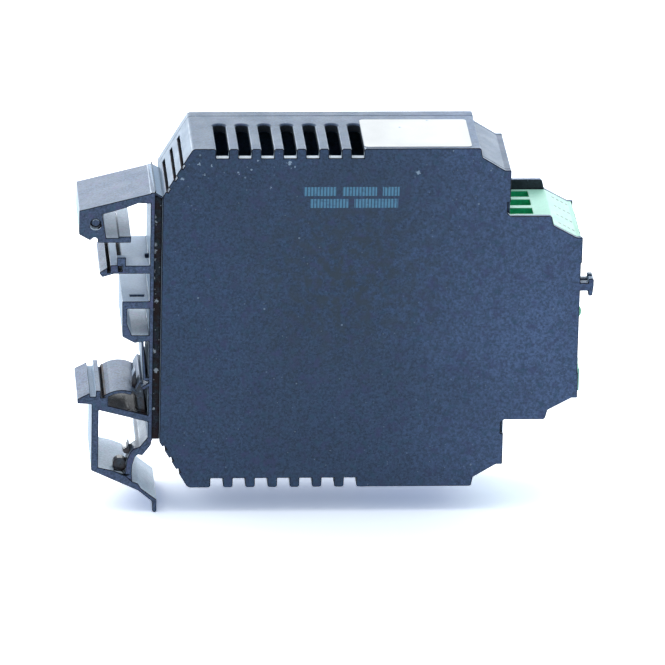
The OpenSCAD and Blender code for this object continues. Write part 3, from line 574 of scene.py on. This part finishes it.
# Painted shade: a darker green copy for the insides of the wire wells
shaded_plug_well = moulded_plastic(
    "shaded_plug_well", srgb(50, 205, 140), grain=0.05, roughness=0.6, dust=0.0, mottle=0.2, shade=0.2, specular=0.1,
)
header_plastic = moulded_plastic("header_plastic", srgb(26, 29, 34), grain=0.05, roughness=0.4)
zinc_steel = metal("zinc_steel", srgb(190, 192, 198))
tinned_copper = metal("tinned_copper", srgb(205, 205, 200), roughness=0.28)


# Materials of the lamp and the inner parts

lamp_resin = moulded_plastic(
    "lamp_resin", srgb(130, 220, 170), grain=0.0, roughness=0.15, dust=0.0, mottle=0.03, shade=0.3,
)
board_laminate = moulded_plastic("board_laminate", srgb(36, 110, 62), grain=0.03, roughness=0.35)
ferrite = moulded_plastic("ferrite", srgb(52, 52, 56), grain=0.3)
bobbin_plastic = moulded_plastic("bobbin_plastic", srgb(206, 200, 178), grain=0.04, mottle=0.05)
winding_wire = moulded_plastic("winding_wire", srgb(170, 110, 60), grain=0.1)
capacitor_sleeve = moulded_plastic("capacitor_sleeve", srgb(34, 44, 92), grain=0.02, roughness=0.25)
film_case = moulded_plastic("film_case", srgb(160, 50, 36), grain=0.02, roughness=0.3)
chip_resin = moulded_plastic("chip_resin", srgb(34, 34, 36), grain=0.1)
opto_resin = moulded_plastic("opto_resin", srgb(225, 224, 214), grain=0.05)

FINISH = {
    "housing_tray": case_plastic, "side_cover": cover_plastic, "rail_foot": foot_plastic,
    "front_panel": panel_plastic, "type_label": label_film, "status_lamp": lamp_resin,
    "upper_blank_cover": panel_plastic, "lower_blank_cover": panel_plastic,
    "upper_plug_body": plug_plastic, "lower_plug_body": plug_plastic,
    "upper_clamp_screws": zinc_steel, "lower_clamp_screws": zinc_steel,
    "upper_clamp_cages": zinc_steel, "lower_clamp_cages": zinc_steel,
    "upper_plug_contacts": tinned_copper, "lower_plug_contacts": tinned_copper,
    "upper_header": header_plastic, "lower_header": header_plastic,
    "upper_header_pins": tinned_copper, "lower_header_pins": tinned_copper,
    "circuit_board": board_laminate, "transformer_core": ferrite,
    "transformer_bobbin": bobbin_plastic, "transformer_winding": winding_wire,
    "electrolytic_capacitors": capacitor_sleeve, "film_capacitor": film_case,
    "signal_chips": chip_resin, "optocouplers": opto_resin,
}


# Face tests: each takes the centre of a face in millimetres, and its normal

# How far a normal points along an axis, where 1 is straight along it
SLIGHTLY = 0.2
PARTLY = 0.3
HALF = 0.5
MOSTLY = 0.7
NEARLY = 0.9
WHOLLY = 0.97


def within(value, limits):
    return limits[0] < value < limits[1]


def in_box(centre, box):
    low, high = box
    return all(low[k] <= centre[k] <= high[k] for k in range(3))


def faces_away(centre, normal):
    return normal.y > NEARLY


# Faces of the rail foot, by boxes and limits in millimetres

STRIP = ((11.45, -9.8, -38), (14.5, 0, 35))
ARCH_HOLLOW = ((4.6, -10.9, -22.3), (10.6, 11.2, -14.3))
ARCH_FOOT_Z = -18
GROOVES = (
    ((1.3, -11.2, -18), (2.1, 11.2, -15.9)),
    ((2.0, -10.9, 9.5), (2.8, 11.2, 11.2)),
    ((4.4, -10.9, 10.0), (5.1, 11.2, 11.2)),
)
BOSS_AND_BARB = ((3.6, -10.2, -35.2), (7.4, -7.0, -28.8))
CATCH_SEAT = ((-2, -11.2, -17.7), (0.3, 11.2, -17.4))
PIN_HOLE = ((-2.8, -11.2, 18.6), (1.6, -10.2, 23.4))
PIN_HOLE_RIM_Y = -10.8
PIN_HOLE_TOP_Z = 21
PIN_HOLE_FOOT_Z = 20.4
FOOT_END_X = 14
ARM_WINDOW_Z = (16, 22)
STOP_WINDOW_Z = (-9, 2)
TAIL_Z = -22.5
SLOPE_X = 11.3
CASE_BACK_X = 11.4
SLANTS_END_X = 3
SLANTS_TOP_Z = 14
SLANT_RISE = 0.6
NEAR_EDGES_Y = -11.02


def strip_beside_case(centre, normal):
    return normal.y < -MOSTLY and in_box(centre, STRIP)


def under_arch(centre, normal):
    return in_box(centre, ARCH_HOLLOW) and (normal.z < SLIGHTLY or centre.z < ARCH_FOOT_Z)


def foot_grooves(centre, normal):
    return any(in_box(centre, groove) for groove in GROOVES)


def boss_and_barb(centre, normal):
    return in_box(centre, BOSS_AND_BARB)


def catch_seat(centre, normal):
    return normal.z > MOSTLY and in_box(centre, CATCH_SEAT)


def looks_up(centre, normal):
    return normal.z > SLIGHTLY and normal.x > -PARTLY and centre.x < FOOT_END_X


def deep_shelves(centre, normal):
    """The upward faces deep inside the foot's windows, and its tail."""
    in_window = within(centre.z, ARM_WINDOW_Z) or within(centre.z, STOP_WINDOW_Z)
    return looks_up(centre, normal) and (in_window or centre.z < TAIL_Z)


def open_shelves(centre, normal):
    """The upward faces of the rail support and the stop block, and the slope beside the case."""
    between_windows = STOP_WINDOW_Z[1] <= centre.z <= ARM_WINDOW_Z[0]
    on_slope = centre.x > SLOPE_X and centre.z > ARM_WINDOW_Z[1]
    return looks_up(centre, normal) and (between_windows or on_slope)


def left_slants(centre, normal):
    """The slanted noses of the rail support and the sprung catch."""
    slanted = within(normal.x, (-MOSTLY, -PARTLY)) and normal.z > SLANT_RISE
    return slanted and centre.x < SLANTS_END_X and centre.z < SLANTS_TOP_Z


def left_sides(centre, normal):
    """The smooth faces that look back along the rail foot's depth, seen at a grazing angle."""
    return normal.x < -NEARLY and centre.x < CASE_BACK_X


def in_pin_hole(centre):
    return in_box(centre, PIN_HOLE)


# Painted light on the upper inside of the pin hole and painted shade on its lower inside, by the materials
# they get
def pin_hole_top(centre, normal):
    inner = centre.y > PIN_HOLE_RIM_Y or normal.z > PARTLY
    return in_pin_hole(centre) and centre.z > PIN_HOLE_TOP_Z and inner


def pin_hole_foot(centre, normal):
    inner = centre.y > PIN_HOLE_RIM_Y or abs(normal.y) < WHOLLY
    return in_pin_hole(centre) and centre.z < PIN_HOLE_FOOT_Z and inner


def near_edges(centre, normal):
    """The rounded edges around the near faces of the foot and the case."""
    rounded = within(normal.y, (-WHOLLY, -SLIGHTLY))
    return centre.y < NEAR_EDGES_Y and rounded and not in_pin_hole(centre)


# Faces of the case and its cover, by boxes and limits in millimetres

CORNER_X = (12.4, 20.5)
CORNER_Y = (-11.15, 9.2)
CORNER_FROM_ZERO = (20, 37.2)
CORNER_OUT = Vector((-0.862, 0.0, 0.507))
NOTCHES = ((20, -11.3, 34.7), (58, -9.0, 35.0))
VENTS_X = (18, 60)
VENTS_HALF_Y = 9
VENTS_FROM_ZERO = (33.5, 37.5)
BAY_WALL = ((80, 9.0, -40), (103, 10.6, 40))


def corner_slots(centre, normal):
    """The inner faces of the vents across the two slanted corners beside the foot."""
    across = within(centre.x, CORNER_X) and within(centre.y, CORNER_Y)
    outward = Vector((CORNER_OUT.x, 0, math.copysign(CORNER_OUT.z, centre.z)))
    return across and within(abs(centre.z), CORNER_FROM_ZERO) and normal.dot(outward) < HALF


def notch_ledges(centre, normal):
    return normal.z > MOSTLY and in_box(centre, NOTCHES)


def vent_walls(centre, normal):
    """The upright walls inside the long vents."""
    in_vents = within(centre.x, VENTS_X) and abs(centre.y) < VENTS_HALF_Y
    return in_vents and within(abs(centre.z), VENTS_FROM_ZERO) and abs(normal.z) < PARTLY


def bay_wall(centre, normal):
    return normal.y < -MOSTLY and in_box(centre, BAY_WALL)


# Faces of the plugs, by limits in millimetres

WELLS_X = (84.9, 91.0)
WELLS_HALF_Y = 9.4
WELLS_FROM_MIDDLE = (12.6, 20.35)


def wire_wells(centre, normal):
    in_rows = within(centre.x, WELLS_X) and abs(centre.y) < WELLS_HALF_Y
    return in_rows and within(abs(centre.z - CASE_MIDDLE), WELLS_FROM_MIDDLE)


# Second materials: the first test that a face passes gives it its material

# Most of these second materials paint light or shade: paler shelves and ledges, and darker grooves, slits,
# hollows and walls
PATCHES = {
    "rail_foot": [
        (shaded_edge, near_edges), (dusty_shade, strip_beside_case), (dusty_shade, foot_grooves), (glossy_shade, under_arch),
        (glossy_shade, boss_and_barb), (lit_deep_shelf, deep_shelves), (lit_foot_shelf, open_shelves),
        (lit_foot_shelf, pin_hole_top), (dusty_shade, pin_hole_foot), (lit_foot_shelf, catch_seat), (foot_side, left_sides),
        (foot_slant, left_slants),
    ],
    "housing_tray": [
        (shaded_edge, near_edges), (dusty_shade, corner_slots), (lit_notch_ledge, notch_ledges),
        (shaded_inner_plastic, vent_walls),
    ],
    "side_cover": [(shaded_inner_plastic, bay_wall), (shaded_far_wall, faces_away)],
    "upper_plug_body": [(shaded_plug_well, wire_wells)],
    "lower_plug_body": [(shaded_plug_well, wire_wells)],
}


# Pieces: the mouldings that show are remade from their frame meshes with softened edges

EDGE_ROUNDING = {
    "housing_tray": 0.15, "side_cover": 0.12, "rail_foot": 0.14, "front_panel": 0.1,
    "upper_blank_cover": 0.12, "lower_blank_cover": 0.12, "upper_plug_body": 0.1, "lower_plug_body": 0.1,
    "upper_header": 0.1, "lower_header": 0.1, "status_lamp": 0.05,
}
EDGE_SEGMENTS = 2
SHARP_ANGLE = math.radians(26)
SAME_PLANE = math.cos(math.radians(0.5))
SAME_CURVE = math.cos(math.radians(50))
MERGE_DISTANCE = 0.0005 * MM


def body_of(name):
    bodies = frame["record"]["behaviour"]["bodies"]
    return next(body for body, names in bodies.items() if name in names)


def merged_mesh(name):
    """The node's mesh with its corners joined."""
    bm = bmesh.new()
    bm.from_mesh(frame["nodes"][name].data)
    bmesh.ops.remove_doubles(bm, verts=bm.verts, dist=MERGE_DISTANCE)
    mesh = bpy.data.meshes.new(name + "_shell")
    bm.to_mesh(mesh)
    bm.free()
    return mesh


def flat_stretches(bm):
    """The number of the flat stretch that each face belongs to, and the area of each stretch."""
    stretch_of = {}
    areas = []
    for seed in bm.faces:
        if seed in stretch_of:
            continue
        stretch_of[seed] = len(areas)
        waiting = [seed]
        area = 0.0
        while waiting:
            face = waiting.pop()
            area += face.calc_area()
            for other in (f for edge in face.edges for f in edge.link_faces):
                if other not in stretch_of and other.normal.dot(seed.normal) > SAME_PLANE:
                    stretch_of[other] = len(areas)
                    waiting.append(other)
        areas.append(area)
    return stretch_of, areas


def corner_normal(face, corner, stretch_of, areas):
    """The mean normal of the flat stretches that meet softly at a corner, weighted by their areas."""
    meeting = [f for f in corner.vert.link_faces if f.normal.dot(face.normal) > SAME_CURVE]
    near = {stretch_of[f]: f.normal for f in meeting}
    total = sum((normal * areas[stretch] for stretch, normal in near.items()), Vector())
    return (total if total.length else face.normal).normalized()


def set_corner_normals(mesh):
    """Shades each flat stretch flat, and each rounded edge or arc smoothly between its neighbours."""
    bm = bmesh.new()
    bm.from_mesh(mesh)
    stretch_of, areas = flat_stretches(bm)
    normals = [corner_normal(face, corner, stretch_of, areas) for face in bm.faces for corner in face.loops]
    bm.free()
    mesh.normals_split_custom_set(normals)


def lay_patches(mesh, patches):
    """Gives the faces that pass a patch's test that patch's material."""
    for number, (material, test) in enumerate(patches, 1):
        mesh.materials.append(material)
        for face in mesh.polygons:
            if face.material_index == 0 and test(face.center / MM, face.normal):
                face.material_index = number


def rounded_mesh(piece, width):
    """The mesh of a piece with its sharp edges rounded."""
    bevel = piece.modifiers.new("soft_edges", "BEVEL")
    bevel.limit_method = "ANGLE"
    bevel.angle_limit = SHARP_ANGLE
    bevel.width = width * MM
    bevel.segments = EDGE_SEGMENTS
    bevel.use_clamp_overlap = False
    bevel.loop_slide = False
    made = bpy.data.meshes.new_from_object(piece.evaluated_get(bpy.context.evaluated_depsgraph_get()))
    piece.modifiers.clear()
    return made


def soften(name, width):
    """Puts a copy with rounded edges in the place of a moulding."""
    piece = bpy.data.objects.new(name + "_shell", merged_mesh(name))
    bpy.context.scene.collection.objects.link(piece)
    made = rounded_mesh(piece, width)
    piece.data = made
    made.shade_smooth()
    set_corner_normals(made)
    made.materials.append(FINISH[name])
    lay_patches(made, PATCHES.get(name, []))
    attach(piece, body_of(name))
    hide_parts(name)


for name, width in EDGE_ROUNDING.items():
    soften(name, width)

for name, material in FINISH.items():
    data = frame["nodes"][name].data
    data.materials.clear()
    data.materials.append(material)


# Floor and backdrop

FLOOR_REACH = 6.0
FLOOR_COLOUR = (0.78, 0.82, 0.87)
FLOOR_SEEN_COLOUR = (1.89, 1.83, 1.76)
FLOOR_SEEN_GLOW = (0.0, 0.03, 0.12)
FLOOR_GLOSS_GLOW = (0.5, 0.55, 0.6)
WORLD_COLOUR = (0.78, 0.89, 1.0)
WORLD_STRENGTH = 0.5


def seen_white(tree):
    """One for rays from the camera, off a gloss or through glass, which all see white surroundings."""
    path = node(tree, "LightPath")
    return largest(tree, [path.outputs[k] for k in ("Is Camera Ray", "Is Glossy Ray", "Is Transmission Ray")])


def make_floor_white():
    """Matt floor that takes the shadow and looks white elsewhere to the camera."""
    material = bpy.data.materials.new("floor_white")
    material.use_nodes = True
    tree = material.node_tree
    tree.nodes.remove(tree.nodes["Principled BSDF"])
    seen = node(tree, "LightPath").outputs["Is Camera Ray"]
    matt = node(tree, "BsdfDiffuse", {"Color": blend_colour(tree, seen, FLOOR_COLOUR, FLOOR_SEEN_COLOUR)})
    glow = node(tree, "Emission", {
        "Color": blend_colour(tree, seen, FLOOR_GLOSS_GLOW, FLOOR_SEEN_GLOW),
        "Strength": seen_white(tree),
    })
    both = node(tree, "AddShader", {0: matt.outputs[0], 1: glow.outputs[0]})
    tree.links.new(both.outputs[0], tree.nodes["Material Output"].inputs["Surface"])
    return material


def make_floor():
    mesh = bpy.data.meshes.new("floor")
    signs = ((-1, -1), (1, -1), (1, 1), (-1, 1))
    corners = [(x * FLOOR_REACH, y * FLOOR_REACH, cad_low.z) for x, y in signs]
    mesh.from_pydata(corners, [], [(0, 1, 2, 3)])
    mesh.materials.append(make_floor_white())
    floor = bpy.data.objects.new("floor", mesh)
    bpy.context.scene.collection.objects.link(floor)


def make_world():
    world = bpy.data.worlds.new("studio")
    bpy.context.scene.world = world
    world.use_nodes = True
    tree = world.node_tree
    background = tree.nodes["Background"]
    white = seen_white(tree)
    tree.links.new(blend_colour(tree, white, WORLD_COLOUR, WHITE), background.inputs["Color"])
    tree.links.new(calc(tree, "MAXIMUM", white, WORLD_STRENGTH), background.inputs["Strength"])


make_floor()
make_world()


# Light

AIM = Vector((0.05, 0.0, 0.0))


def softbox(name, place, width, height, watts, colour=COOL_WHITE):
    """A soft lamp turned to the object."""
    data = bpy.data.lights.new(name, "AREA")
    data.shape = "RECTANGLE"
    data.size = width
    data.size_y = height
    data.energy = watts
    data.color = colour
    light = bpy.data.objects.new(name, data)
    light.location = place
    light.rotation_euler = (AIM - Vector(place)).to_track_quat("-Z", "Y").to_euler()
    bpy.context.scene.collection.objects.link(light)


softbox("back_softbox", (0.1, 1.6, 0.75), width=2.4, height=0.9, watts=17.5)
softbox("top_softbox", (0.0, 0.1, 1.5), width=1.2, height=1.2, watts=8.0, colour=TOP_WHITE)
softbox("left_softbox", (-1.05, 0.3, 0.95), width=1.0, height=1.0, watts=6.0)
softbox("left_corner_softbox", (-0.65, 1.3, 0.16), width=0.5, height=0.3, watts=7.0)
softbox("right_corner_softbox", (0.85, 1.3, 0.16), width=0.5, height=0.3, watts=3.0)

scene = bpy.context.scene
scene.view_settings.view_transform = "Standard"
